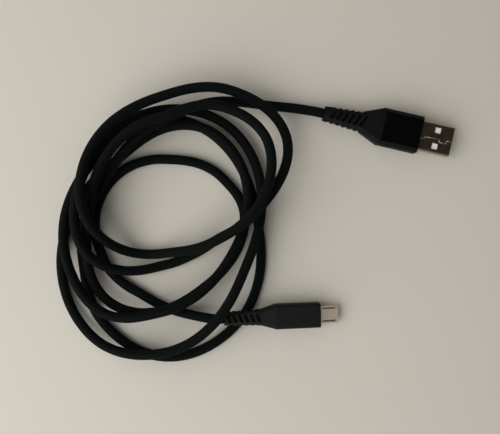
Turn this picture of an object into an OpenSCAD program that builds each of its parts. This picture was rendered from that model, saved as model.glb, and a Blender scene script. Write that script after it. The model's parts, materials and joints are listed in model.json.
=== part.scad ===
// Braided charging cable, USB-A plug to micro-B plug, lying in a loose coil.
// Millimetres. X runs to the right, Y away and Z up, and the cable lies on the plane z = 0.

/* [Cord] */
// Diameter of the braided cord
cord_d = 4; // [3.6:0.1:4.1]
// Sides of the straight-laid tubes
lead_sides = 8; // [8:1:12]
// Sides of the coil's tube
coil_sides = 6; // [6:1:8]
// Angle from one ring of the coil's tube to the next
ring_step = 15; // [15:5:30]

/* [USB-A plug] */
// Width of the housing
usb_a_w = 15; // [14.6:0.1:17]
// Thickness of the housing
usb_a_t = 8.3; // [8.1:0.1:10]
// Length of the housing, from the shoulder to the front
usb_a_body_l = 16.7; // [16:0.1:22]
// Chamfer along the housing's long edges
usb_a_chamfer = 1.4; // [0.6:0.1:1.5]
// Length of the slotted part of the strain relief
usb_a_relief_l = 15.1; // [15.1:0.1:22]
// Length of the neck from the strain relief to the shoulder
usb_a_neck_l = 8.4; // [6:0.1:12]
// Width of the strain relief at the cord
usb_a_tail_w = 6.1; // [5.4:0.1:7]
// Width of the strain relief where the neck starts
usb_a_relief_w = 8.1; // [7.2:0.1:9]
// Thickness of the strain relief at the cord
usb_a_tail_t = 5.2; // [4.8:0.1:6]
// Thickness of the strain relief where the neck starts
usb_a_relief_t = 6.4; // [6:0.1:7.4]
// Width of the smooth panel let into the housing
panel_w = 12; // [8:0.1:12]
// Depth of the panel's recess
panel_depth = 0.3; // [0.2:0.05:0.4]
// Width of the metal shell
usb_a_shell_w = 12; // [11.8:0.05:12.2]
// Thickness of the metal shell
usb_a_shell_t = 4.5; // [4.4:0.05:4.6]
// Sheet thickness of the metal shell
usb_a_sheet = 0.3; // [0.2:0.05:0.35]
// Length of shell that stands out of the housing
usb_a_reach = 13.3; // [12:0.1:14.5]
// Length of shell held in the housing
usb_a_rooted = 5.5; // [4.5:0.1:6.5]
// Size of the square windows in the shell
window_w = 2.4; // [1.5:0.1:2.8]
// Distance of the windows' middles from the shell's tip
window_back = 6.6; // [5.5:0.1:8]
// Half the distance between the windows' middles
window_side = 3.3; // [2.8:0.1:3.6]
// Thickness of the tongue that carries the contacts
tongue_t = 1.9; // [1.6:0.05:2]

/* [Micro-B plug] */
// Width of the housing
micro_b_w = 10.1; // [9.8:0.1:12]
// Thickness of the housing
micro_b_t = 6.6; // [6.4:0.1:8]
// Length of the housing, from the shoulder to the front
micro_b_body_l = 18.8; // [18:0.1:24]
// Radius of the housing's long edges
micro_b_round = 1.5; // [0.6:0.1:1.6]
// Length of the slotted part of the strain relief
micro_b_relief_l = 15; // [15:0.1:20]
// Length of the neck from the strain relief to the shoulder
micro_b_neck_l = 5.6; // [4:0.1:8]
// Width of the strain relief at the cord
micro_b_tail_w = 5.6; // [5:0.1:6.2]
// Width of the strain relief where the neck starts
micro_b_relief_w = 6.6; // [6.2:0.1:7.4]
// Thickness of the strain relief at the cord
micro_b_tail_t = 4.8; // [4.6:0.1:5.2]
// Thickness of the strain relief where the neck starts
micro_b_relief_t = 5.2; // [5:0.1:6]
// Width of the metal shell
micro_b_shell_w = 6.85; // [6.8:0.05:6.9]
// Thickness of the metal shell
micro_b_shell_t = 1.8; // [1.8:0.05:1.85]
// Sheet thickness of the metal shell
micro_b_sheet = 0.25; // [0.2:0.01:0.27]
// Length of shell that stands out of the housing
micro_b_reach = 7.8; // [7.4:0.1:9]
// Length of shell held in the housing
micro_b_rooted = 4.5; // [4:0.1:5.5]
// Length of the slots that the latches come up through
latch_slot_l = 5.3; // [5.1:0.1:5.6]
// Width of the latch slots
latch_slot_w = 0.6; // [0.5:0.05:0.7]
// Half the distance between the latches
latch_side = 2.6; // [2.5:0.05:2.65]
// Height of a latch's hook over the shell
latch_proud = 0.35; // [0.2:0.05:0.45]
// Downward tilt of the plug, which rests its nose on the table
micro_b_tilt = 6.2; // [6:0.1:6.8]

/* [Strain relief slots] */
// Width of a slot
slot_w = 1.1; // [0.6:0.1:1.2]
// Depth of the slots in the top and the bottom
slot_depth = 1.4; // [0.8:0.1:1.5]
// Depth of the notches in the sides
notch_depth = 0.6; // [0.3:0.1:0.8]

/* [Wires and contacts] */
// Diameter of a wire inside the cord
wire_d = 0.8; // [0.6:0.05:0.85]
// Width of a USB-A contact
usb_a_contact_w = 1; // [0.8:0.05:1.1]
// Thickness of a USB-A contact
usb_a_contact_t = 0.25; // [0.15:0.05:0.3]
// Width of a micro-B contact
micro_b_contact_w = 0.35; // [0.25:0.01:0.4]
// Thickness of a micro-B contact
micro_b_contact_t = 0.15; // [0.1:0.01:0.17]
// Clearance between two pieces that fit together
fit = 0.05; // [0.03:0.01:0.06]
// Smoothness of round parts
$fn = 48; // [32:8:64]

/* [Hidden] */

// ---- Route of the cord ----

// The middle of the coil, and the angles at which the cord joins and leaves it
coil_middle = [-72, 2];
coil_first = 60;
coil_last = 2370;

// Where the turns swing out and in: the angle round the coil, and the reach from its middle
swings = [
    [60, 52], [90, 36], [150, 27], [210, 39], [240, 52], [270, 60], [300, 56], [360, 38],
    [450, 39], [480, 38], [510, 36], [570, 44], [600, 47], [630, 40], [690, 33],
    [780, 38], [840, 29], [870, 31], [900, 38], [960, 59], [990, 57], [1050, 40], [1140, 44],
    [1230, 35], [1290, 34], [1350, 22], [1410, 24], [1440, 38], [1470, 58], [1500, 56],
    [1530, 46], [1560, 40], [1620, 30], [1710, 17], [1770, 24], [1830, 50], [1860, 48],
    [1890, 37], [1980, 29], [2040, 43], [2100, 35], [2160, 33], [2190, 28], [2250, 22], [2370, 31]];

// Where the cord climbs over itself: the angle round the coil, and the lift off the table of a cord
// as thick as climb_d, which a thicker cord lifts in proportion
climb_d = 3.6;
climbs = [
    [60, 5], [90, 9], [150, 4.5], [180, 4], [210, 0.5], [240, 0], [390, 0],
    [450, 0.5], [540, 4], [600, 7], [630, 9], [690, 4.5], [750, 4.5],
    [780, 5.5], [810, 4.5], [840, 3], [870, 0], [930, 0], [960, 2], [1020, 10], [1080, 4.5],
    [1140, 2.5], [1170, 4], [1200, 7], [1260, 8.5], [1290, 9], [1320, 3], [1350, 0], [1380, 0],
    [1425, 7.5], [1440, 9], [1500, 9], [1530, 9.5], [1560, 11.5], [1590, 12.5], [1620, 12.5], [1680, 1],
    [1710, 2], [1800, 13], [1860, 12], [1890, 13], [1950, 10], [1980, 8], [2010, 4],
    [2040, 3], [2070, 4.5], [2130, 0], [2370, 0]];

// Where each cord leaves its plug, and the plugs' headings
usb_a_tail = [-6.2, 42.6];
usb_a_heading = -13;
micro_b_tail = [-47, -41.3];
micro_b_heading = 1.5;

// The free stretches between the plugs and the coil: x, y and the lift off the table
lead_a_points = [[-19, 45, 1], [-28, 46, 0.5], [-37, 47, 1.5]];
lead_b_points = [[-95.5, -21, 0], [-89, -27.5, 0], [-81.5, -32, 0], [-73.5, -36.5, 0], [-65, -39.5, 0.5]];

// A smooth curve through the rows of a list, each row an angle and a value
function slope(keys, i) =
    let (a = max(i - 1, 0), b = min(i + 1, len(keys) - 1))
    (keys[b][1] - keys[a][1]) / (keys[b][0] - keys[a][0]);
function span_of(keys, a, i = 0) =
    (i >= len(keys) - 2 || a < keys[i + 1][0]) ? i : span_of(keys, a, i + 1);
function blend(v0, v1, s0, s1, h, u) =
    v0 * (2 * u * u * u - 3 * u * u + 1) + v1 * (3 * u * u - 2 * u * u * u)
    + h * s0 * (u * u * u - 2 * u * u + u) + h * s1 * (u * u * u - u * u);
function value_at(keys, a) =
    let (i = span_of(keys, a), h = keys[i + 1][0] - keys[i][0])
    blend(keys[i][1], keys[i + 1][1], slope(keys, i), slope(keys, i + 1), h, (a - keys[i][0]) / h);

// A point of the coil at an angle, and a point of a free stretch
function coil_point(a) =
    let (r = value_at(swings, a))
    [coil_middle[0] + r * cos(a), coil_middle[1] + r * sin(a),
     height(value_at(climbs, a))];
function lead_point(p) = [p[0], p[1], height(p[2])];
function height(lift) = cord_d / 2 + max(0, lift) * cord_d / climb_d;
function unit(v) = v / norm(v);

// Both ends of the coil run straight for one diameter, where the free stretches meet them
coil_start = coil_point(coil_first);
coil_end = coil_point(coil_last);
start_way = unit(coil_point(coil_first + 1) - coil_start);
end_way = unit(coil_end - coil_point(coil_last - 1));
coil_rings = concat(
    [coil_start, coil_start + start_way * cord_d],
    [for (a = [coil_first + ring_step:ring_step:coil_last - ring_step]) coil_point(a)],
    [coil_end - end_way * cord_d, coil_end]);

// Places and headings of the plugs, at the ends of the strain reliefs
usb_a_origin = [usb_a_tail[0], usb_a_tail[1], usb_a_t / 2];
usb_a_shoulder = usb_a_relief_l + usb_a_neck_l;
usb_a_front = usb_a_shoulder + usb_a_body_l;
usb_a_tip = usb_a_front + usb_a_reach;
usb_a_back = usb_a_front - usb_a_rooted;
micro_b_shoulder = micro_b_relief_l + micro_b_neck_l;
micro_b_front = micro_b_shoulder + micro_b_body_l;
micro_b_tip = micro_b_front + micro_b_reach;
micro_b_back = micro_b_front - micro_b_rooted;
micro_b_origin = [micro_b_tail[0], micro_b_tail[1],
    micro_b_t / 2 * cos(micro_b_tilt) + micro_b_front * sin(micro_b_tilt)];
usb_a_way = [cos(usb_a_heading), sin(usb_a_heading), 0];
micro_b_way = [cos(micro_b_tilt) * cos(micro_b_heading),
    cos(micro_b_tilt) * sin(micro_b_heading), -sin(micro_b_tilt)];

lead_a_rings = concat(
    [usb_a_origin, usb_a_origin - usb_a_way * cord_d],
    [for (p = lead_a_points) lead_point(p)],
    [coil_start - start_way * cord_d, coil_start]);
lead_b_rings = concat(
    [coil_end, coil_end + end_way * cord_d],
    [for (p = lead_b_points) lead_point(p)],
    [micro_b_origin - micro_b_way * cord_d, micro_b_origin]);

// ---- Tubes ----

function way_at(path, i) =
    i == 0 ? unit(path[1] - path[0])
    : i == len(path) - 1 ? unit(path[i] - path[i - 1])
    : unit(unit(path[i + 1] - path[i]) + unit(path[i] - path[i - 1]));
function ring_at(path, i, sides, d) =
    let (w = way_at(path, i), side = unit(cross(w, [0, 0, 1])), up = cross(side, w))
    [for (k = [0:sides - 1])
        path[i] + d / 2 * (side * sin(k * 360 / sides) - up * cos(k * 360 / sides))];

// One unbroken tube of triangles along a path
module tube(path, sides, d) {
    last = len(path) - 1;
    points = [for (i = [0:last]) each ring_at(path, i, sides, d)];
    walls = [for (i = [0:last - 1], k = [0:sides - 1])
        let (a = i * sides + k, b = i * sides + (k + 1) % sides)
        each [[a, b, b + sides], [a, b + sides, a + sides]]];
    first_cap = [for (k = [1:sides - 2]) [0, k + 1, k]];
    last_cap = [for (k = [1:sides - 2]) [last * sides, last * sides + k, last * sides + k + 1]];
    polyhedron(points, concat(walls, first_cap, last_cap));
}

// The least gap between two turns of a path, measured on points along it
samples_per_ring = 4;
function samples(path) =
    [for (i = [0:len(path) - 2], j = [0:samples_per_ring - 1])
        path[i] + (path[i + 1] - path[i]) * j / samples_per_ring];
function lengths(points) =
    [for (i = 0, s = 0; i < len(points); s = s + (i < len(points) - 1 ? norm(points[i + 1] - points[i]) : 0),
        i = i + 1) s];
function least_gap(path) =
    let (points = samples(path), run = lengths(points), apart = 4 * cord_d)
    min([for (i = [0:len(points) - 1], j = [i + 1:1:len(points) - 1])
        if (run[j] - run[i] > apart) norm(points[i] - points[j])]) - cord_d;

module cord_coil() {
    whole_cord = concat([for (i = [0:len(lead_a_rings) - 2]) lead_a_rings[i]], coil_rings,
        [for (i = [1:len(lead_b_rings) - 1]) lead_b_rings[i]]);
    echo(least_gap_of_the_cord = least_gap(whole_cord));
    echo(length_of_the_cord = lengths(samples(whole_cord))[samples_per_ring * (len(whole_cord) - 1) - 1]);
    color("#1b1e20") tube(coil_rings, coil_sides, cord_d);
}
module cord_lead_usb_a() color("#1b1e20") tube(lead_a_rings, lead_sides, cord_d);
module cord_lead_micro_b() color("#1b1e20") tube(lead_b_rings, lead_sides, cord_d);

// ---- Shared shapes, with X along the plug from its tail ----

module at_usb_a() translate(usb_a_origin) rotate([0, 0, usb_a_heading]) children();
module at_micro_b() translate(micro_b_origin) rotate([0, micro_b_tilt, micro_b_heading]) children();

// A section in Y and Z drawn out along X
module along(x0, x1) translate([x0, 0, 0]) rotate([90, 0, 90]) linear_extrude(x1 - x0) children();
module block(x0, x1, w, t) along(x0, x1) square([w, t], center = true);
module chamfered(w, t, c) polygon([[-w / 2, -t / 2 + c], [-w / 2 + c, -t / 2], [w / 2 - c, -t / 2],
    [w / 2, -t / 2 + c], [w / 2, t / 2 - c], [w / 2 - c, t / 2], [-w / 2 + c, t / 2], [-w / 2, t / 2 - c]]);
module rounded(w, t, r) {
    square([w - 2 * r, t], center = true);
    square([w, t - 2 * r], center = true);
    for (y = [-1, 1], z = [-1, 1]) translate([y * (w / 2 - r), z * (t / 2 - r)]) circle(r);
}

// A body lofted through rounded sections, each [x, width, thickness, corner radius]
corner_points = 8;
function corner(s, q) =
    [for (k = [0:corner_points - 1])
        let (a = q * 90 + k * 90 / (corner_points - 1),
            y = (q == 0 || q == 3 ? 1 : -1) * (s[1] / 2 - s[3]),
            z = (q < 2 ? 1 : -1) * (s[2] / 2 - s[3]))
        [s[0], y + s[3] * cos(a), z + s[3] * sin(a)]];
function section_points(s) = [for (q = [0:3]) each corner(s, q)];
module loft(sections) {
    n = 4 * corner_points;
    last = len(sections) - 1;
    walls = [for (i = [0:last - 1], k = [0:n - 1])
        let (a = i * n + k, b = i * n + (k + 1) % n)
        each [[a, b + n, b], [a, a + n, b + n]]];
    caps = [[for (k = [0:n - 1]) k], [for (k = [n - 1:-1:0]) last * n + k]];
    polyhedron([for (s = sections) each section_points(s)], concat(walls, caps));
}

// Slanted slots in the top and bottom of a strain relief, and notches staggered between them in its sides.
// The relief grows from the width and thickness tail to those of root over its length.
slot_count = 6;
notch_share = 0.6;
module relief_slots(first, pitch, first_l, last_l, slant, tail, root, length) {
    function across(i, x) = tail[i] + (root[i] - tail[i]) * x / length;
    for (i = [0:slot_count - 1], face = [-1, 1])
        let (x = first + i * pitch, l = first_l + (last_l - first_l) * i / (slot_count - 1))
        translate([x, 0, face * across(1, x) / 2]) rotate([0, 0, slant])
            cube([slot_w, l, 2 * slot_depth], center = true);
    for (i = [0:slot_count - 2], face = [-1, 1])
        let (x = first + (i + 0.5) * pitch)
        translate([x, face * across(0, x) / 2, 0])
            cube([slot_w, 2 * notch_depth, across(1, x) * notch_share], center = true);
}

// A wire that runs straight out of the crimp, crosses over and runs straight up to its solder
wire_sides = 10;
module wire(from, bend_x, to)
    tube([from, [bend_x, from[1], from[2]], [to[0] - wire_d / 2, to[1], to[2]], to], wire_sides, wire_d);

// Places of the four wires in the crimp, in the order red, white, green, black
wire_apart = wire_d / 2 + 0.1;
wire_nest = [[1, 1], [1, -1], [-1, -1], [-1, 1]];
crimp_bore = 2 * (wire_apart * sqrt(2) + wire_d / 2 + fit);
crimp_sheet = 0.35;
crimp_l = 3.2;
mould_wall = 1.2;
solder_d = 1.1;
solder_l = 1.4;

module crimp(x0) along(x0, x0 + crimp_l) difference() {
    circle(d = crimp_bore + 2 * crimp_sheet);
    circle(d = crimp_bore);
    translate([0, -crimp_bore / 2 - crimp_sheet / 2]) square([0.3, crimp_sheet * 2], center = true);
}

// ---- USB-A plug ----

usb_a_core_x = usb_a_shoulder + 1.5;
usb_a_core_end = usb_a_front - 1.6;
usb_a_core_w = usb_a_shell_w + 1;
usb_a_core_t = usb_a_shell_t + 1.2;
usb_a_side_wall = 1.5;
usb_a_face_wall = 1;
usb_a_solder_x = usb_a_back - 0.7 - solder_l;
usb_a_contact_y = [3.5, 1, -1, -3.5];
tongue_top = usb_a_shell_t / 2 - usb_a_sheet - fit;
tongue_under = tongue_top - tongue_t;
usb_a_solder_z = tongue_under - fit + solder_d / 2 + 0.02;
usb_a_slot_x = 3.9;
usb_a_slot_pitch = 2.5;
usb_a_slot_l = [3.6, 5];
usb_a_slot_slant = -23;
usb_a_tail_round = 2.2;
usb_a_relief_round = 2;

module usb_a_strain_relief() color("#232527") at_usb_a() difference() {
    loft([[0, usb_a_tail_w, usb_a_tail_t, usb_a_tail_round],
        [usb_a_relief_l, usb_a_relief_w, usb_a_relief_t, usb_a_relief_round],
        [usb_a_shoulder, usb_a_w - 0.4, usb_a_t - 0.4, usb_a_chamfer]]);
    relief_slots(usb_a_slot_x, usb_a_slot_pitch, usb_a_slot_l[0], usb_a_slot_l[1], usb_a_slot_slant,
        [usb_a_tail_w, usb_a_tail_t], [usb_a_relief_w, usb_a_relief_t], usb_a_relief_l);
}

module usb_a_housing() color("#232527") at_usb_a() difference() {
    along(usb_a_shoulder, usb_a_front) chamfered(usb_a_w, usb_a_t, usb_a_chamfer);
    block(usb_a_core_x - fit, usb_a_core_end + fit, usb_a_core_w + 2 * fit, usb_a_core_t + 2 * fit);
    block(usb_a_core_end, usb_a_front + 1, usb_a_shell_w + 2 * fit, usb_a_shell_t + 2 * fit);
    translate([usb_a_shoulder + 1 - fit, -panel_w / 2 - fit, usb_a_t / 2 - panel_depth])
        cube([usb_a_body_l, panel_w + 2 * fit, panel_depth + 1]);
}

module usb_a_face_panel() color("#0d0e10") at_usb_a()
    translate([usb_a_shoulder + 1, -panel_w / 2, usb_a_t / 2 - panel_depth])
        cube([usb_a_body_l - 1, panel_w, panel_depth]);

// The seam where the two edges of the rolled shell lock together, as offsets along and across
seam_gap = 0.12;
seam = [[-usb_a_rooted, -1.3], [1.9, -1.3], [1.9, -0.5], [8, -0.2], [8.3, -1.45], [11, -1.45],
    [11.1, -0.25], [usb_a_reach, -0.25]];
module seam_cut() for (i = [0:len(seam) - 2])
    let (a = seam[i], b = seam[i + 1], l = norm(b - a))
    translate([a[0], a[1]]) rotate(atan2(b[1] - a[1], b[0] - a[0]))
        translate([-seam_gap / 2, -seam_gap / 2]) square([l + seam_gap, seam_gap]);

module usb_a_shell() color("#8f8c88") at_usb_a() difference() {
    along(usb_a_back, usb_a_tip) difference() {
        rounded(usb_a_shell_w, usb_a_shell_t, 0.6);
        rounded(usb_a_shell_w - 2 * usb_a_sheet, usb_a_shell_t - 2 * usb_a_sheet, 0.6 - usb_a_sheet);
    }
    for (y = [-1, 1])
        translate([usb_a_tip - window_back, y * window_side, 0])
            cube([window_w, window_w, usb_a_shell_t + 1], center = true);
    translate([usb_a_front, 0, usb_a_shell_t / 2 - usb_a_sheet - 0.1])
        linear_extrude(usb_a_sheet + 0.2) seam_cut();
}

module usb_a_tongue() color("#e8e4da") at_usb_a() difference() {
    union() {
        block(usb_a_back, usb_a_front - 1, usb_a_shell_w - 2 * usb_a_sheet - 2 * fit - 0.4,
            usb_a_shell_t - 2 * usb_a_sheet - 2 * fit);
        translate([usb_a_front - 1.5, -usb_a_shell_w / 2 + usb_a_sheet + 0.3, tongue_under])
            cube([usb_a_reach + 0.5, usb_a_shell_w - 2 * usb_a_sheet - 0.6, tongue_t]);
    }
    for (y = usb_a_contact_y)
        translate([usb_a_back - 1, y - usb_a_contact_w / 2 - fit, tongue_under - usb_a_contact_t - 2 * fit])
            cube([usb_a_rooted + 1, usb_a_contact_w + 2 * fit, usb_a_contact_t + 2 * fit]);
}

module usb_a_contacts() color("#caa24a") at_usb_a() for (i = [0:3])
    let (outer = abs(usb_a_contact_y[i]) > 2, end = usb_a_tip - (outer ? 1.8 : 2.8))
    translate([usb_a_solder_x, usb_a_contact_y[i] - usb_a_contact_w / 2, tongue_under - fit - usb_a_contact_t])
        cube([end - usb_a_solder_x, usb_a_contact_w, usb_a_contact_t]);

module usb_a_solder() color("#b9bcc0") at_usb_a() for (y = usb_a_contact_y)
    translate([usb_a_solder_x, y, usb_a_solder_z]) rotate([0, 90, 0]) cylinder(d = solder_d, h = solder_l);

module usb_a_wire(i) at_usb_a()
    wire([usb_a_core_x + fit, wire_nest[i][0] * wire_apart, wire_nest[i][1] * wire_apart],
        usb_a_core_x + 0.3 + crimp_l,
        [usb_a_solder_x - fit, usb_a_contact_y[i], usb_a_solder_z]);
module usb_a_wire_red() color("#b3261e") usb_a_wire(0);
module usb_a_wire_white() color("#ece9e2") usb_a_wire(1);
module usb_a_wire_green() color("#2f7d3a") usb_a_wire(2);
module usb_a_wire_black() color("#141414") usb_a_wire(3);

module usb_a_crimp() color("#a8a9ab") at_usb_a() crimp(usb_a_core_x + 0.2);

module usb_a_inner_mould() color("#d9d6cc") at_usb_a() difference() {
    block(usb_a_core_x, usb_a_core_end, usb_a_core_w, usb_a_core_t);
    block(usb_a_back - fit, usb_a_core_end + 1, usb_a_shell_w + 2 * fit, usb_a_shell_t + 2 * fit);
    block(usb_a_core_x + mould_wall, usb_a_back, usb_a_core_w - 2 * usb_a_side_wall,
        usb_a_core_t - 2 * usb_a_face_wall);
    along(usb_a_core_x - 1, usb_a_core_x + mould_wall + 1)
        circle(d = crimp_bore + 2 * crimp_sheet + 2 * fit);
}

// ---- Micro-B plug ----

micro_b_core_x = micro_b_shoulder + 1.5;
micro_b_core_end = micro_b_front - 1.4;
micro_b_core_w = micro_b_shell_w + 1;
micro_b_core_t = 4.4;
micro_b_side_wall = 1.1;
micro_b_face_wall = 0.5;
insulator_w = 4.1;
insulator_top = 0.05;
micro_b_solder_d = 0.9;
micro_b_solder_x = micro_b_back - 0.6 - solder_l;
micro_b_pitch = 0.65;
micro_b_tail_rows = [[2, 0.5], [1, -0.5], [-1, -0.5], [-2, 0.5]];
spring_under = insulator_top + 0.2;
spring_root = micro_b_front + 0.6;
spring_l = 5.4;
latch_root = micro_b_front + 0.5;
latch_arm_t = 0.3;
latch_arm_w = 0.4;
latch_arm_z = 0.15;
latch_hook_l = 0.9;
latch_slot_x = micro_b_front + 1.2;
latch_end = latch_slot_x + latch_slot_l - 0.3;
micro_b_slot_x = 1.8;
micro_b_slot_pitch = 2.4;
micro_b_slot_l = 3.2;
micro_b_slot_slant = 25;
micro_b_tail_round = 2;
micro_b_relief_round = 1.8;

module micro_b_strain_relief() color("#232527") at_micro_b() difference() {
    loft([[0, micro_b_tail_w, micro_b_tail_t, micro_b_tail_round],
        [micro_b_relief_l, micro_b_relief_w, micro_b_relief_t, micro_b_relief_round],
        [micro_b_shoulder, micro_b_w - 0.3, micro_b_t - 0.3, micro_b_round]]);
    relief_slots(micro_b_slot_x, micro_b_slot_pitch, micro_b_slot_l, micro_b_slot_l, micro_b_slot_slant,
        [micro_b_tail_w, micro_b_tail_t], [micro_b_relief_w, micro_b_relief_t], micro_b_relief_l);
}

module micro_b_housing() color("#232527") at_micro_b() difference() {
    along(micro_b_shoulder, micro_b_front) rounded(micro_b_w, micro_b_t, micro_b_round);
    block(micro_b_core_x - fit, micro_b_core_end + fit, micro_b_core_w + 2 * fit, micro_b_core_t + 2 * fit);
    block(micro_b_core_end, micro_b_front + 1, micro_b_shell_w + 2 * fit, micro_b_shell_t + 2 * fit);
}

// The shell's outline, with its two lower edges cut away, drawn in by a wall
module micro_b_outline(wall) {
    half_w = micro_b_shell_w / 2 - wall;
    half_t = micro_b_shell_t / 2 - wall;
    polygon([[-half_w, half_t], [half_w, half_t], [half_w, -0.05], [half_w - 0.75, -half_t],
        [-half_w + 0.75, -half_t], [-half_w, -0.05]]);
}
module micro_b_shell() color("#b9aba4") at_micro_b() difference() {
    along(micro_b_back, micro_b_tip) difference() {
        micro_b_outline(0);
        micro_b_outline(micro_b_sheet);
    }
    for (side = [-1, 1])
        translate([latch_slot_x, side * latch_side - latch_slot_w / 2, 0])
            cube([latch_slot_l, latch_slot_w, micro_b_shell_t]);
    translate([latch_slot_x + 1.4, 0, micro_b_shell_t / 2 - 0.08])
        linear_extrude(1) polygon([[0, -0.5], [1.6, -0.9], [1.6, 0.9], [0, 0.5]]);
}

module micro_b_insulator() color("#1c1c1e") at_micro_b() difference() {
    union() {
        block(micro_b_back, micro_b_front + 0.3, insulator_w, 2 * (micro_b_shell_t / 2 - micro_b_sheet - fit));
        translate([micro_b_front, -insulator_w / 2, -micro_b_shell_t / 2 + micro_b_sheet + fit])
            cube([micro_b_reach - 0.8, insulator_w, insulator_top + micro_b_shell_t / 2 - micro_b_sheet - fit]);
    }
    for (i = [-2:2])
        translate([micro_b_back - 1, i * micro_b_pitch - micro_b_contact_w / 2 - fit, spring_under - fit])
            cube([micro_b_rooted + 2, micro_b_contact_w + 2 * fit, micro_b_contact_t + 2 * fit]);
}

// Each spring runs forward and ends in a raised contact
module micro_b_contact_springs() color("#caa24a") at_micro_b() for (i = [-2:2])
    translate([spring_root, i * micro_b_pitch + micro_b_contact_w / 2, spring_under]) rotate([90, 0, 0])
        linear_extrude(micro_b_contact_w) polygon([[0, 0], [spring_l, 0], [spring_l, micro_b_contact_t],
            [spring_l - 0.5, micro_b_contact_t], [spring_l - 0.9, micro_b_contact_t + 0.12],
            [spring_l - 1.4, micro_b_contact_t + 0.12], [spring_l - 1.8, micro_b_contact_t],
            [0, micro_b_contact_t]]);

module micro_b_contact_tails() color("#caa24a") at_micro_b() for (i = [-2:2])
    translate([micro_b_solder_x, i * micro_b_pitch - micro_b_contact_w / 2, spring_under])
        cube([spring_root - fit - micro_b_solder_x, micro_b_contact_w, micro_b_contact_t]);

// A spring arm under the shell, with a hook that comes up through its slot
module latch(side) at_micro_b()
    translate([0, side * latch_side + latch_arm_w / 2, 0]) rotate([90, 0, 0]) linear_extrude(latch_arm_w)
        polygon([[latch_root, latch_arm_z], [latch_end, latch_arm_z],
            [latch_end, micro_b_shell_t / 2 + latch_proud - 0.15],
            [latch_end - 0.15, micro_b_shell_t / 2 + latch_proud],
            [latch_end - 0.4, micro_b_shell_t / 2 + latch_proud],
            [latch_end - latch_hook_l, latch_arm_z + latch_arm_t],
            [latch_root, latch_arm_z + latch_arm_t]]);
module micro_b_latch_left() color("#b9bcc0") latch(1);
module micro_b_latch_right() color("#b9bcc0") latch(-1);

function micro_b_solder_z(i) =
    let (over = micro_b_tail_rows[i][1] > 0, reach = micro_b_solder_d / 2 + 0.02)
    over ? spring_under + micro_b_contact_t + reach : spring_under - reach;
module micro_b_solder() color("#b9bcc0") at_micro_b() for (i = [0:3])
    translate([micro_b_solder_x, micro_b_tail_rows[i][0] * micro_b_pitch, micro_b_solder_z(i)])
        rotate([0, 90, 0]) cylinder(d = micro_b_solder_d, h = solder_l);

module micro_b_wire(i) at_micro_b()
    wire([micro_b_core_x + fit, wire_nest[i][0] * wire_apart, wire_nest[i][1] * wire_apart],
        micro_b_core_x + 0.3 + crimp_l,
        [micro_b_solder_x - fit, micro_b_tail_rows[i][0] * micro_b_pitch, micro_b_solder_z(i)]);
module micro_b_wire_red() color("#b3261e") micro_b_wire(0);
module micro_b_wire_white() color("#ece9e2") micro_b_wire(1);
module micro_b_wire_green() color("#2f7d3a") micro_b_wire(2);
module micro_b_wire_black() color("#141414") micro_b_wire(3);

module micro_b_crimp() color("#a8a9ab") at_micro_b() crimp(micro_b_core_x + 0.2);

module micro_b_inner_mould() color("#d9d6cc") at_micro_b() difference() {
    block(micro_b_core_x, micro_b_core_end, micro_b_core_w, micro_b_core_t);
    block(micro_b_back - fit, micro_b_core_end + 1, micro_b_shell_w + 2 * fit, micro_b_shell_t + 2 * fit);
    block(micro_b_core_x + mould_wall, micro_b_back, micro_b_core_w - 2 * micro_b_side_wall,
        micro_b_core_t - 2 * micro_b_face_wall);
    along(micro_b_core_x - 1, micro_b_core_x + mould_wall + 1)
        circle(d = crimp_bore + 2 * crimp_sheet + 2 * fit);
}

cord_lead_usb_a();
cord_coil();
cord_lead_micro_b();
usb_a_shell();
usb_a_tongue();
usb_a_contacts();
usb_a_solder();
usb_a_wire_red();
usb_a_wire_white();
usb_a_wire_green();
usb_a_wire_black();
usb_a_crimp();
usb_a_inner_mould();
usb_a_housing();
usb_a_face_panel();
usb_a_strain_relief();
micro_b_shell();
micro_b_insulator();
micro_b_contact_springs();
micro_b_contact_tails();
micro_b_latch_left();
micro_b_latch_right();
micro_b_solder();
micro_b_wire_red();
micro_b_wire_white();
micro_b_wire_green();
micro_b_wire_black();
micro_b_crimp();
micro_b_inner_mould();
micro_b_housing();
micro_b_strain_relief();
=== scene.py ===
import json
import math

import bmesh
import bpy
from mathutils import Matrix, Vector


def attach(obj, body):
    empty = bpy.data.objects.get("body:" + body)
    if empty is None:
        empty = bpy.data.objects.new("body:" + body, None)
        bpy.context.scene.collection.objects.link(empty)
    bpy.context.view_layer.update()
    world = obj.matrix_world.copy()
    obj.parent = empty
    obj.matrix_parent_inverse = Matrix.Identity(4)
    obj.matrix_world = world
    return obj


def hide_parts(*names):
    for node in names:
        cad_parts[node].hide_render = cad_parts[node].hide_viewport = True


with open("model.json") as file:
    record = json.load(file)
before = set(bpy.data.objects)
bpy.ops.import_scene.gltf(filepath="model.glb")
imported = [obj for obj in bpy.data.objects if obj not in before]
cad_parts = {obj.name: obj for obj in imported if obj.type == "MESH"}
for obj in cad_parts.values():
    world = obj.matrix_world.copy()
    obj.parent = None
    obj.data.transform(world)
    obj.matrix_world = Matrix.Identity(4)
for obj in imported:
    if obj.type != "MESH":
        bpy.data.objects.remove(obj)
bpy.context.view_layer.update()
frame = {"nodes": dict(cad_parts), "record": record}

nodes = frame["nodes"]
mm = 0.001

# the camera looks straight down on the table
shot = {
    "place": (-36.5 * mm, 0, 260 * mm),
    "lens": 44.74,
    "sensor": 36,
    "nearest": 0.01,
}


def makeCamera(facts):
    data = bpy.data.cameras.new("shotCamera")
    data.lens = facts["lens"]
    data.sensor_width = facts["sensor"]
    data.clip_start = facts["nearest"]
    camera = bpy.data.objects.new("shotCamera", data)
    camera.location = facts["place"]
    bpy.context.scene.collection.objects.link(camera)
    bpy.context.scene.camera = camera


makeCamera(shot)
print("camera placed")


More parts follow.
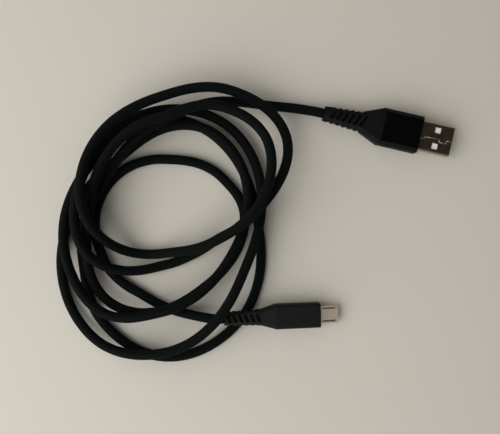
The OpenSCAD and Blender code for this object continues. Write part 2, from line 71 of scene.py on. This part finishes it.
def runsOf(points):
    # how far along the line each of its points lies
    runs = [0]
    for a, b in zip(points, points[1:]):
        runs.append(runs[-1] + (b - a).length)
    return runs


def blend(start, end, startSlope, endSlope, u):
    # a smooth curve from start to end, with a slope of its own at each
    return (start * (2 * u**3 - 3 * u * u + 1) + end * (3 * u * u - 2 * u**3)
            + startSlope * (u**3 - 2 * u * u + u) + endSlope * (u**3 - u * u))


def pieceFrom(form, name):
    mesh = bpy.data.meshes.new(name)
    form.to_mesh(mesh)
    form.free()
    piece = bpy.data.objects.new(name, mesh)
    bpy.context.scene.collection.objects.link(piece)
    return piece


# the cord is one braided tube from plug to plug, in millimetres
cord = {
    "diameter": 4,
    "length": 1.67,      # metres, between the two strain reliefs
    "middle": (-72, 2),
    "firstAngle": 60,
    "lastAngle": 2370,
    "angleStep": 5,
    "climbFor": 3.6,     # the climbs suit a cord this thick, and a thicker one climbs in proportion
    "ringGap": 0.9,      # from ring to ring of the finished tube
    "stepsToRing": 3,    # the smooth curve is laid out this much finer before its rings are placed
    "sides": 24,
    "weld": 0.01,        # points of the tube that lie closer than this become one
    "strandsRound": 8,   # strands each way round the braid
    "braidPitch": 13,    # length of cord for one turn of a strand
    # angle round the coil, and how far the turn reaches from its middle
    "swings": [
        (60, 52), (90, 36), (150, 27), (210, 39), (240, 52), (270, 60), (300, 56), (360, 38),
        (450, 39), (480, 38), (510, 36), (570, 44), (600, 47), (630, 40), (690, 33),
        (780, 38), (840, 29), (870, 31), (900, 38), (960, 59), (990, 57), (1050, 40), (1140, 44),
        (1230, 35), (1290, 34), (1350, 22), (1410, 24), (1440, 38), (1470, 58), (1500, 56),
        (1530, 46), (1560, 40), (1620, 30), (1710, 17), (1770, 24), (1830, 50), (1860, 48),
        (1890, 37), (1980, 29), (2040, 43), (2100, 35), (2160, 33), (2190, 28), (2250, 22), (2370, 31)],
    # angle round the coil, and how far the cord is lifted off the table
    "climbs": [
        (60, 5), (90, 9), (150, 4.5), (180, 4), (210, 0.5), (240, 0), (390, 0),
        (450, 0.5), (540, 4), (600, 7), (630, 9), (690, 4.5), (750, 4.5), (780, 5.5), (810, 4.5),
        (840, 3), (870, 0), (930, 0), (960, 2), (1020, 10), (1080, 4.5), (1140, 2.5), (1170, 4),
        (1200, 7), (1260, 8.5), (1290, 9), (1320, 3), (1350, 0), (1380, 0), (1425, 7.5), (1440, 9),
        (1500, 9), (1530, 9.5), (1560, 11.5), (1590, 12.5), (1620, 12.5), (1680, 1), (1710, 2),
        (1800, 13), (1860, 12), (1890, 13), (1950, 10), (1980, 8), (2010, 4), (2040, 3), (2070, 4.5),
        (2130, 0), (2370, 0)],
    # the free stretches: x, y and the lift off the table
    "leadA": [(-19, 45, 1), (-28, 46, 0.5), (-37, 47, 1.5)],
    "leadB": [(-95.5, -21, 0), (-89, -27.5, 0), (-81.5, -32, 0), (-73.5, -36.5, 0), (-65, -39.5, 0.5)],
}

# where each plug's strain relief meets the cord, and how the plug lies
usbA = {"tail": (-6.2, 42.6), "heading": -13, "tilt": 0, "thick": 8.3, "front": 40.2}
microB = {"tail": (-47, -41.3), "heading": 1.5, "tilt": 6.2, "thick": 6.6, "front": 39.4}


def tailOf(plug):
    turn, tilt = math.radians(plug["heading"]), math.radians(plug["tilt"])
    way = Vector((math.cos(tilt) * math.cos(turn), math.cos(tilt) * math.sin(turn), -math.sin(tilt)))
    height = plug["thick"] / 2 * math.cos(tilt) + plug["front"] * math.sin(tilt)
    return Vector((*plug["tail"], height)), way


def valueAt(keys, angle):
    i = max(k for k in range(len(keys) - 1) if k == 0 or angle >= keys[k][0])

    def slope(j):
        before, after = keys[max(j - 1, 0)], keys[min(j + 1, len(keys) - 1)]
        return (after[1] - before[1]) / (after[0] - before[0])

    span = keys[i + 1][0] - keys[i][0]
    share = (angle - keys[i][0]) / span
    return blend(keys[i][1], keys[i + 1][1], span * slope(i), span * slope(i + 1), share)


def heightOf(climb):
    return cord["diameter"] / 2 + max(0, climb) * cord["diameter"] / cord["climbFor"]


def coilPoint(angle):
    reach = valueAt(cord["swings"], angle)
    turn = math.radians(angle)
    x = cord["middle"][0] + reach * math.cos(turn)
    y = cord["middle"][1] + reach * math.sin(turn)
    return Vector((x, y, heightOf(valueAt(cord["climbs"], angle))))


def leadPoint(key):
    x, y, climb = key
    return Vector((x, y, heightOf(climb)))


def routePoints():
    startA, wayA = tailOf(usbA)
    startB, wayB = tailOf(microB)
    points = [startA, startA - wayA * cord["diameter"]]
    points += [leadPoint(key) for key in cord["leadA"]]
    steps = (cord["lastAngle"] - cord["firstAngle"]) // cord["angleStep"]
    points += [coilPoint(cord["firstAngle"] + k * cord["angleStep"]) for k in range(steps + 1)]
    points += [leadPoint(key) for key in cord["leadB"]]
    points += [startB - wayB * cord["diameter"], startB]
    return points


def evenPath(points, facts):
    # a smooth curve through the points, laid out again at an even gap
    runs = runsOf(points)

    def tangent(i):
        before, after = max(i - 1, 0), min(i + 1, len(points) - 1)
        return (points[after] - points[before]) / (runs[after] - runs[before])

    fine = []
    for i in range(len(points) - 1):
        span = runs[i + 1] - runs[i]
        leaving, arriving = tangent(i) * span, tangent(i + 1) * span
        parts = max(2, int(span / (facts["ringGap"] / facts["stepsToRing"])))
        fine += [blend(points[i], points[i + 1], leaving, arriving, k / parts) for k in range(parts)]
    fine.append(points[-1])
    along = runsOf(fine)
    count = int(along[-1] / facts["ringGap"])
    even, j = [], 0
    for k in range(count + 1):
        want = along[-1] * k / count
        while j < len(along) - 2 and along[j + 1] < want:
            j += 1
        even.append(fine[j].lerp(fine[j + 1], (want - along[j]) / (along[j + 1] - along[j])))
    return even


def framesAlong(path):
    # at each ring: its middle, the way to its side and the way up, with no twist from ring to ring
    last = len(path) - 1
    way = (path[1] - path[0]).normalized()
    side = way.cross(Vector((0, 0, 1))).normalized()
    frames = []
    for i, middle in enumerate(path):
        way = (path[min(i + 1, last)] - path[max(i - 1, 0)]).normalized()
        side = (side - way * side.dot(way)).normalized()
        frames.append((middle, side, way.cross(side)))
    return frames


def sweepTube(name, path, facts):
    # a flat grid, rolled up along the path into a tube; its UV map counts the braid's strands
    rings, sides, strands = len(path), facts["sides"], facts["strandsRound"]
    form = bmesh.new()
    layer = form.loops.layers.uv.new("braid")
    bmesh.ops.create_grid(form, x_segments=rings - 1, y_segments=sides, size=0.5, calc_uvs=True)
    frames, runs = framesAlong(path), runsOf(path)
    for face in form.faces:
        for loop in face.loops:
            ring = round((loop.vert.co.x + 0.5) * (rings - 1))
            around = loop.vert.co.y + 0.5
            loop[layer].uv = (runs[ring] / facts["braidPitch"] * strands, around * strands)
    for vert in form.verts:
        middle, side, up = frames[round((vert.co.x + 0.5) * (rings - 1))]
        turn = 2 * math.pi * (vert.co.y + 0.5)
        vert.co = (middle + (side * math.cos(turn) + up * math.sin(turn)) * facts["diameter"] / 2) * mm
    bmesh.ops.remove_doubles(form, verts=form.verts, dist=facts["weld"] * mm)
    bmesh.ops.holes_fill(form, edges=[e for e in form.edges if e.is_boundary], sides=sides)
    bmesh.ops.recalc_face_normals(form, faces=form.faces)
    for face in form.faces:
        face.smooth = len(face.verts) == 4
    return pieceFrom(form, name)


cordPath = evenPath(routePoints(), cord)
cordPiece = sweepTube("braidedCord", cordPath, cord)
print("cord swept", len(cordPath), "rings")


def newMaterial(name):
    material = bpy.data.materials.new(name)
    material.use_nodes = True
    tree = material.node_tree
    shader = tree.nodes["Principled BSDF"]
    return material, tree, shader


def maths(tree, operation, first, second=None):
    made = tree.nodes.new("ShaderNodeMath")
    made.operation = operation
    for socket, value in zip(made.inputs, (first, second)):
        if value is None:
            continue
        if isinstance(value, (int, float)):
            socket.default_value = value
        else:
            tree.links.new(value, socket)
    return made.outputs[0]


def ramp(tree, source, low, high, at=(0, 1)):
    made = tree.nodes.new("ShaderNodeValToRGB")
    made.color_ramp.elements[0].color = (*low, 1)
    made.color_ramp.elements[1].color = (*high, 1)
    made.color_ramp.elements[0].position = at[0]
    made.color_ramp.elements[1].position = at[1]
    tree.links.new(source, made.inputs[0])
    return made.outputs[0]


grainRoughness = 0.6    # how strong the noise's finer layers are against its broad ones


def grain(tree, scale, detail):
    place = tree.nodes.new("ShaderNodeTexCoord")
    made = tree.nodes.new("ShaderNodeTexNoise")
    made.inputs["Scale"].default_value = scale
    made.inputs["Detail"].default_value = detail
    made.inputs["Roughness"].default_value = grainRoughness
    tree.links.new(place.outputs["Object"], made.inputs["Vector"])
    return made.outputs["Fac"]


def bump(tree, shader, height, facts):
    made = tree.nodes.new("ShaderNodeBump")
    made.inputs["Strength"].default_value = facts["bump"]
    made.inputs["Distance"].default_value = facts["bumpHeight"]
    tree.links.new(height, made.inputs["Height"])
    tree.links.new(made.outputs["Normal"], shader.inputs["Normal"])


def greyRamp(tree, source, low, high, at=(0, 1)):
    return ramp(tree, source, (low, low, low), (high, high, high), at)


def mixOf(tree, first, second, share):
    # the share is the second one's
    firstPart = maths(tree, "MULTIPLY", first, 1 - share)
    return maths(tree, "ADD", firstPart, maths(tree, "MULTIPLY", second, share))


def tint(tree, shader, source, facts, at):
    tree.links.new(ramp(tree, source, facts["dark"], facts["light"], at), shader.inputs["Base Color"])


def roughen(tree, shader, source, least, most):
    wear = maths(tree, "MULTIPLY", source, most - least)
    tree.links.new(maths(tree, "ADD", wear, least), shader.inputs["Roughness"])


# the braid: two sets of strands cross over and under each other, each strand a flat bundle of threads
braid = {
    "name": "blackBraid",
    "dark": (0.0009, 0.0015, 0.0015),
    "light": (0.0048, 0.0066, 0.0065),
    "toneFrom": (0.15, 0.95),      # the heights at which a strand is all dark and all light: painted shade in the dips between strands, a painted highlight on their crowns
    # powers of a sine: the smaller, the flatter a strand's back and the steeper its dip under the next
    "crown": 0.5,
    "dip": 0.35,
    "threads": 4,
    "threadHeight": 0.06,
    "fuzz": 900,
    "fuzzDetail": 3,
    "fuzzShare": 0.3,
    "rough": (0.95, 0.7),          # between the strands, and on them
    "specular": 0.05,
    "sheen": 0.01,
    "sheenRough": 0.6,
    "bump": 0.7,
    "bumpHeight": 0.12 * mm,
}


def braidMaterial(facts):
    material, tree, shader = newMaterial(facts["name"])
    place = tree.nodes.new("ShaderNodeTexCoord")
    parts = tree.nodes.new("ShaderNodeSeparateXYZ")
    tree.links.new(place.outputs["UV"], parts.inputs[0])
    right = maths(tree, "ADD", parts.outputs[0], parts.outputs[1])
    left = maths(tree, "SUBTRACT", parts.outputs[0], parts.outputs[1])
    rightIn, leftIn = maths(tree, "FRACT", right), maths(tree, "FRACT", left)
    parity = maths(tree, "ADD", maths(tree, "FLOOR", right), maths(tree, "FLOOR", left))
    onTop = maths(tree, "MODULO", maths(tree, "ABSOLUTE", parity), 2)

    def strand(across, along):
        crown = maths(tree, "SINE", maths(tree, "MULTIPLY", across, math.pi))
        dip = maths(tree, "SINE", maths(tree, "MULTIPLY", along, math.pi))
        threads = maths(tree, "SINE", maths(tree, "MULTIPLY", across, 2 * math.pi * facts["threads"]))
        flatCrown = maths(tree, "POWER", crown, facts["crown"])
        steepDip = maths(tree, "POWER", dip, facts["dip"])
        body = maths(tree, "MULTIPLY", flatCrown, steepDip)
        return maths(tree, "ADD", body, maths(tree, "MULTIPLY", threads, facts["threadHeight"]))

    over = maths(tree, "MULTIPLY", strand(rightIn, leftIn), onTop)
    under = maths(tree, "MULTIPLY", strand(leftIn, rightIn), maths(tree, "SUBTRACT", 1, onTop))
    height = maths(tree, "ADD", over, under)
    fuzz = grain(tree, facts["fuzz"], facts["fuzzDetail"])
    # the colour follows the strand's height: painted shade darkens the dips where strands pass under each
    # other and a painted highlight lightens the crowns; the fuzz is the fibres' own random tone
    tone = mixOf(tree, height, fuzz, facts["fuzzShare"])
    tint(tree, shader, tone, facts, facts["toneFrom"])
    tree.links.new(greyRamp(tree, height, *facts["rough"]), shader.inputs["Roughness"])
    shader.inputs["Specular IOR Level"].default_value = facts["specular"]
    shader.inputs["Sheen Weight"].default_value = facts["sheen"]
    shader.inputs["Sheen Roughness"].default_value = facts["sheenRough"]
    bump(tree, shader, height, facts)
    return material


# soft moulded plastic with a fine spark-eroded grain and faint handling marks
moulding = {
    "grain": 9000,
    "grainDetail": 2,
    "marks": 260,
    "marksDetail": 4,
    "toneFrom": (0.3, 0.75),
    "rough": (0.54, 0.70),    # where the marks are faintest and strongest
    "bump": 0.25,
    "bumpHeight": 0.02 * mm,
}
mouldings = {
    "black_moulding": {
        "name": "blackMoulding",
        "dark": (0.0030, 0.0037, 0.0038),
        "light": (0.0060, 0.0068, 0.0070),
        "gloss": 0.2,
    },
    "deep_moulding": {
        "name": "deepMoulding",
        "dark": (0.0014, 0.0018, 0.0018),
        "light": (0.0028, 0.0033, 0.0033),
        "gloss": 0.13,
    },
}


def mouldingMaterial(facts):
    material, tree, shader = newMaterial(facts["name"])
    fine = grain(tree, moulding["grain"], moulding["grainDetail"])
    marks = grain(tree, moulding["marks"], moulding["marksDetail"])
    tint(tree, shader, marks, facts, moulding["toneFrom"])
    roughen(tree, shader, marks, *moulding["rough"])
    shader.inputs["Specular IOR Level"].default_value = facts["gloss"]
    bump(tree, shader, fine, moulding)
    return material


# the smooth panel in the plug's face
glossPanel = {
    "name": "glossPanel",
    "dark": (0.0006, 0.0006, 0.0007),
    "light": (0.0009, 0.0009, 0.0010),
    "marks": 420,
    "marksDetail": 5,
    "rough": (0.18, 0.22),
    "roughFrom": (0.35, 0.7),
    "grain": 3000,
    "grainDetail": 2,
    "bump": 0.05,
    "bumpHeight": 0.01 * mm,
}


def glossMaterial(facts):
    material, tree, shader = newMaterial(facts["name"])
    marks = grain(tree, facts["marks"], facts["marksDetail"])
    tint(tree, shader, marks, facts, (0, 1))
    tree.links.new(greyRamp(tree, marks, *facts["rough"], facts["roughFrom"]), shader.inputs["Roughness"])
    bump(tree, shader, grain(tree, facts["grain"], facts["grainDetail"]), facts)
    return material


# plated sheet: fine drawing lines along the plug, and a slight cloudiness
sheet = {
    "lines": (90, 4200, 4200),     # coarse along the plug, fine across it
    "linesDetail": 3,
    "cloud": 350,
    "cloudDetail": 4,
    "cloudShare": 0.6,
    "toneFrom": (0.3, 0.7),
    "bump": 0.08,
    "bumpHeight": 0.01 * mm,
}
metals = {
    # the USB-A shell's nickel is coloured darker than the plating is: painted shade, a dark reflection
    # painted into its colour
    "nickel_shell": {
        "name": "nickelUsbAPaintedShade",
        "dark": (0.31, 0.262, 0.205),
        "light": (0.39, 0.33, 0.265),
        "rough": (0.14, 0.34),
        "plug": usbA,
    },
    # lighter than the shell's nickel: a painted highlight along the seam
    "nickel_lip_painted_highlight": {
        "name": "nickelLipPaintedHighlight",
        "dark": (0.42, 0.37, 0.31),
        "light": (0.50, 0.45, 0.38),
        "rough": (0.32, 0.52),
        "plug": usbA,
    },
    # darker than the steel is: painted shade, so the slots above the latches read dark
    "latch_steel_painted_shade": {
        "name": "latchSteelPaintedShade",
        "dark": (0.20, 0.17, 0.15),
        "light": (0.28, 0.24, 0.21),
        "rough": (0.30, 0.50),
        "plug": microB,
    },
    # the micro-B shell's nickel is coloured brighter than the plating is: a painted reflection of the lamps
    "nickel_micro_painted_reflection": {
        "name": "nickelMicroBPaintedReflection",
        "dark": (0.82, 0.67, 0.56),
        "light": (0.94, 0.80, 0.69),
        "rough": (0.32, 0.52),
        "plug": microB,
    },
}


def metalMaterial(facts):
    material, tree, shader = newMaterial(facts["name"])
    place = tree.nodes.new("ShaderNodeTexCoord")
    mapping = tree.nodes.new("ShaderNodeMapping")
    mapping.inputs["Rotation"].default_value = (0, 0, math.radians(-facts["plug"]["heading"]))
    mapping.inputs["Scale"].default_value = sheet["lines"]
    tree.links.new(place.outputs["Object"], mapping.inputs["Vector"])
    lines = tree.nodes.new("ShaderNodeTexNoise")
    lines.inputs["Scale"].default_value = 1
    lines.inputs["Detail"].default_value = sheet["linesDetail"]
    tree.links.new(mapping.outputs["Vector"], lines.inputs["Vector"])
    cloud = grain(tree, sheet["cloud"], sheet["cloudDetail"])
    mixed = mixOf(tree, lines.outputs["Fac"], cloud, sheet["cloudShare"])
    tint(tree, shader, mixed, facts, sheet["toneFrom"])
    roughen(tree, shader, mixed, *facts["rough"])
    shader.inputs["Metallic"].default_value = 1
    bump(tree, shader, lines.outputs["Fac"], sheet)
    return material


# the small pieces inside: plastics, contacts, solder and wires
plain = {
    "cloud": 700,
    "cloudDetail": 3,
    "toneFrom": (0.3, 0.7),
    "grain": 5000,
    "grainDetail": 2,
    "bump": 0.1,
    "bumpHeight": 0.01 * mm,
}
plains = {
    "white_plastic": {
        "name": "whiteTongue", "dark": (0.72, 0.70, 0.64), "light": (0.82, 0.80, 0.75),
        "rough": (0.38, 0.53)},
    "black_plastic": {
        "name": "blackInsulator", "dark": (0.010, 0.010, 0.011), "light": (0.018, 0.018, 0.02),
        "rough": (0.43, 0.58)},
    "gold_contact": {
        "name": "goldContact", "dark": (0.72, 0.50, 0.20), "light": (0.86, 0.64, 0.30),
        "rough": (0.23, 0.38), "metallic": 1},
    "solder": {
        "name": "solder", "dark": (0.52, 0.53, 0.55), "light": (0.68, 0.69, 0.71),
        "rough": (0.31, 0.46), "metallic": 1},
    "red_insulation": {
        "name": "redWire", "dark": (0.40, 0.02, 0.015), "light": (0.55, 0.035, 0.02),
        "rough": (0.33, 0.48)},
    "white_insulation": {
        "name": "whiteWire", "dark": (0.74, 0.73, 0.69), "light": (0.84, 0.83, 0.80),
        "rough": (0.33, 0.48)},
    "green_insulation": {
        "name": "greenWire", "dark": (0.02, 0.20, 0.05), "light": (0.035, 0.28, 0.07),
        "rough": (0.33, 0.48)},
    "black_insulation": {
        "name": "blackWire", "dark": (0.008, 0.008, 0.008), "light": (0.014, 0.014, 0.014),
        "rough": (0.33, 0.48)},
    "milky_mould": {
        "name": "milkyMould", "dark": (0.62, 0.60, 0.53), "light": (0.74, 0.72, 0.65),
        "rough": (0.43, 0.58)},
}


def plainMaterial(facts):
    material, tree, shader = newMaterial(facts["name"])
    cloud = grain(tree, plain["cloud"], plain["cloudDetail"])
    tint(tree, shader, cloud, facts, plain["toneFrom"])
    roughen(tree, shader, cloud, *facts["rough"])
    shader.inputs["Metallic"].default_value = facts.get("metallic", 0)
    bump(tree, shader, grain(tree, plain["grain"], plain["grainDetail"]), plain)
    return material


finishes = {"black_braid": braidMaterial(braid), "gloss_panel": glossMaterial(glossPanel)}
for make, group in ((mouldingMaterial, mouldings), (metalMaterial, metals), (plainMaterial, plains)):
    for finish, facts in group.items():
        finishes[finish] = make(facts)
print("materials made", len(finishes))

cordPiece.data.materials.append(finishes["black_braid"])
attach(cordPiece, "root")
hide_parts("cord_lead_usb_a", "cord_coil", "cord_lead_micro_b")


# the CAD nodes keep their shape and take their finish
def finishOf(row):
    # the latches take the darker steel, painted shade in the shell's slots
    if row["node"].startswith("micro_b_latch"):
        return finishes["latch_steel_painted_shade"]
    if row["material_slot"] == "black_moulding" and row["node"].startswith("usb_a"):
        return finishes["deep_moulding"]
    # the micro-B shell takes the brighter nickel, a painted reflection
    if row["material_slot"] == "nickel_shell" and row["node"].startswith("micro_b"):
        return finishes["nickel_micro_painted_reflection"]
    return finishes[row["material_slot"]]


for row in frame["record"]["subparts"]:
    mesh = nodes[row["node"]].data
    mesh.materials.clear()
    mesh.materials.append(finishOf(row))


# softened copies stand for the outer pieces: their edges are slightly rounded, as real ones are
softened = {
    "usb_a_housing": {"name": "usbAHousing", "edge": 0.22, "segments": 3, "rim": 0.5},
    "usb_a_strain_relief": {"name": "usbAStrainRelief", "edge": 0.14, "segments": 2},
    "usb_a_face_panel": {"name": "usbAFacePanel", "edge": 0.10, "segments": 2},
    "usb_a_shell": {"name": "usbAShell", "edge": 0.07, "segments": 2},
    "micro_b_housing": {"name": "microBHousing", "edge": 0.18, "segments": 3},
    "micro_b_strain_relief": {"name": "microBStrainRelief", "edge": 0.12, "segments": 2},
    "micro_b_shell": {"name": "microBShell", "edge": 0.04, "segments": 2},
}
softening = {
    "weld": 0.002,                  # millimetres: points that lie closer than this become one
    "flat": math.radians(0.5),      # faces that meet at less than this become one
    "crease": math.radians(28),     # edges sharper than this are rounded
}


def evenShading(piece):
    # flat faces stay flat up to their rounded edges
    weighted = piece.modifiers.new("evenShading", "WEIGHTED_NORMAL")
    weighted.keep_sharp = True
    weighted.weight = 100


# the notches in each strain relief's sides run over its whole height, so its outline is ribbed;
# for each side, where the first notch is along the plug and how many there are;
# and how wide the relief is at its tail and at its root
notches = {
    "usb_a_strain_relief": {
        "plug": usbA,
        "sides": {1: (5.15, 5), -1: (2.65, 6)},
        "pitch": 2.5,
        "long": 1.1,
        "deep": 0.6,
        "widths": (6.1, 8.1),
        "reliefLength": 15.1,
    },
    "micro_b_strain_relief": {
        "plug": microB,
        "sides": {1: (3, 5), -1: (3, 5)},
        "pitch": 2.4,
        "long": 1.1,
        "deep": 0.4,
        "widths": (5.6, 6.6),
        "reliefLength": 15,
    },
}
barHeight = 12    # more than the height of either relief


def plugFrame(plug):
    turn = Matrix.Rotation(math.radians(plug["heading"]), 4, "Z")
    tilt = Matrix.Rotation(math.radians(plug["tilt"]), 4, "Y")
    return Matrix.Translation(tailOf(plug)[0] * mm) @ turn @ tilt


def notchedMesh(source):
    # a bar across each notch is taken away from a copy of the relief
    facts = notches[source]
    form = bmesh.new()
    narrow, wide = facts["widths"]
    size = Matrix.Diagonal((facts["long"] * mm, 2 * facts["deep"] * mm, barHeight * mm, 1))
    for side, (first, count) in facts["sides"].items():
        for i in range(count):
            x = first + i * facts["pitch"]
            width = narrow + (wide - narrow) * x / facts["reliefLength"]
            place = Matrix.Translation(Vector((x, side * width / 2, 0)) * mm)
            bmesh.ops.create_cube(form, size=1, matrix=plugFrame(facts["plug"]) @ place @ size)
    bars = pieceFrom(form, "notchBars")
    relief = bpy.data.objects.new("reliefCopy", nodes[source].data.copy())
    bpy.context.scene.collection.objects.link(relief)
    cut = relief.modifiers.new("notches", "BOOLEAN")
    cut.operation = "DIFFERENCE"
    cut.solver = "EXACT"
    cut.object = bars
    bpy.context.view_layer.update()
    mesh = bpy.data.meshes.new_from_object(relief.evaluated_get(bpy.context.evaluated_depsgraph_get()))
    bpy.data.objects.remove(bars)
    bpy.data.objects.remove(relief)
    return mesh


def besideThinRim(edge, rim):
    # a face narrower than the rim has no room for a rounded edge
    return any(min(e.calc_length() for e in face.edges) < rim * mm for face in edge.link_faces)


def softenedCopy(source, facts):
    form = bmesh.new()
    form.from_mesh(notchedMesh(source) if source in notches else nodes[source].data)
    bmesh.ops.remove_doubles(form, verts=form.verts, dist=softening["weld"] * mm)
    bmesh.ops.dissolve_limit(form, angle_limit=softening["flat"], verts=form.verts, edges=form.edges)
    crease, rim = softening["crease"], facts.get("rim", 0)
    sharp = [edge for edge in form.edges if len(edge.link_faces) == 2
             and edge.calc_face_angle(0) > crease and not besideThinRim(edge, rim)]
    bmesh.ops.bevel(form, geom=sharp, offset=facts["edge"] * mm, affect="EDGES", segments=facts["segments"],
                    profile=0.5, material=-1, clamp_overlap=True)
    for face in form.faces:
        face.smooth = True
    for edge in form.edges:
        edge.smooth = len(edge.link_faces) == 2 and edge.calc_face_angle(0) < crease
    piece = pieceFrom(form, facts["name"])
    piece.data.materials.append(nodes[source].data.materials[0])
    evenShading(piece)
    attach(piece, "root")
    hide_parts(source)
    return piece


for source, facts in softened.items():
    softenedCopy(source, facts)

# the rolled sheet's upper edge stands a little proud beside the seam
seamLip = {
    "name": "usbASeamLip",
    "radius": 0.14,
    "sides": 12,
    "axisHeight": 6.35,
    "besideSeam": 0.16,
    # along the plug from the front of its housing, and across it
    "corners": [(-1, -1.3), (1.9, -1.3), (1.9, -0.5), (8, -0.2), (8.3, -1.45), (11, -1.45),
                (11.1, -0.25), (12.9, -0.25)],
}


def lipAlong(facts):
    # a ball at each corner, and a rod from each to the next
    tail, way = tailOf(usbA)
    across = Vector((-way.y, way.x, 0))
    corners = []
    for along, aside in facts["corners"]:
        spot = tail + way * (usbA["front"] + along) + across * (aside + facts["besideSeam"])
        corners.append(Vector((spot.x, spot.y, facts["axisHeight"])) * mm)
    form = bmesh.new()
    radius = facts["radius"] * mm
    for corner in corners:
        bmesh.ops.create_icosphere(form, subdivisions=2, radius=radius, matrix=Matrix.Translation(corner))
    for a, b in zip(corners, corners[1:]):
        place = Matrix.Translation((a + b) / 2) @ (b - a).to_track_quat("Z", "Y").to_matrix().to_4x4()
        bmesh.ops.create_cone(form, cap_ends=True, segments=facts["sides"], radius1=radius, radius2=radius,
                              depth=(b - a).length, matrix=place)
    for face in form.faces:
        face.smooth = len(face.verts) <= 4
    piece = pieceFrom(form, facts["name"])
    # the lip takes the lighter nickel, a painted highlight along the seam
    piece.data.materials.append(finishes["nickel_lip_painted_highlight"])
    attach(piece, "root")


lipAlong(seamLip)
print("seam lip made")


# the table top and the light: every lamp looks at the table under the camera
tableTop = {
    "size": 3,
    "colour": (0.63, 0.605, 0.54),
    "rough": 0.7,
    "specular": 0.25,
}
lamps = {
    "windowLamp": {"place": (-0.52, -0.36, 0.46), "size": 1.1, "power": 7.5, "colour": (1, 0.99, 0.97)},
    "roomLamp": {"place": (-0.56, 0.32, 0.55), "size": 1.1, "power": 2.4, "colour": (1, 0.98, 0.95)},
    "shelfLamp": {"place": (0.50, -0.42, 1.05), "size": 0.5, "power": 0.4, "colour": (1, 0.97, 0.93)},
}
sky = {
    "low": (0.66, 0.65, 0.62),
    "high": (0.07, 0.06, 0.05),
    "fade": (0.55, 0.95),
    "strength": 0.36,
}


def makeFloor(facts):
    form = bmesh.new()
    bmesh.ops.create_grid(form, x_segments=2, y_segments=2, size=facts["size"] / 2)
    floor = pieceFrom(form, "tableTop")
    material, tree, shader = newMaterial("paleTable")
    shader.inputs["Base Color"].default_value = (*facts["colour"], 1)
    shader.inputs["Roughness"].default_value = facts["rough"]
    shader.inputs["Specular IOR Level"].default_value = facts["specular"]
    floor.data.materials.append(material)


def makeLamp(name, facts):
    data = bpy.data.lights.new(name, "AREA")
    data.shape = "DISK"
    data.size = facts["size"]
    data.energy = facts["power"]
    data.color = facts["colour"]
    lamp = bpy.data.objects.new(name, data)
    lamp.location = facts["place"]
    aim = Vector(shot["place"]) * Vector((1, 1, 0)) - lamp.location
    lamp.rotation_euler = aim.to_track_quat("-Z", "Y").to_euler()
    bpy.context.scene.collection.objects.link(lamp)


def makeSky(facts):
    world = bpy.data.worlds.new("room")
    world.use_nodes = True
    bpy.context.scene.world = world
    tree = world.node_tree
    place = tree.nodes.new("ShaderNodeTexCoord")
    parts = tree.nodes.new("ShaderNodeSeparateXYZ")
    tree.links.new(place.outputs["Generated"], parts.inputs[0])
    colour = ramp(tree, parts.outputs[2], facts["low"], facts["high"], facts["fade"])
    background = tree.nodes["Background"]
    tree.links.new(colour, background.inputs["Color"])
    background.inputs["Strength"].default_value = facts["strength"]


makeFloor(tableTop)
for name, facts in lamps.items():
    makeLamp(name, facts)
makeSky(sky)
bpy.context.scene.view_settings.view_transform = "Standard"
print("floor and light made")
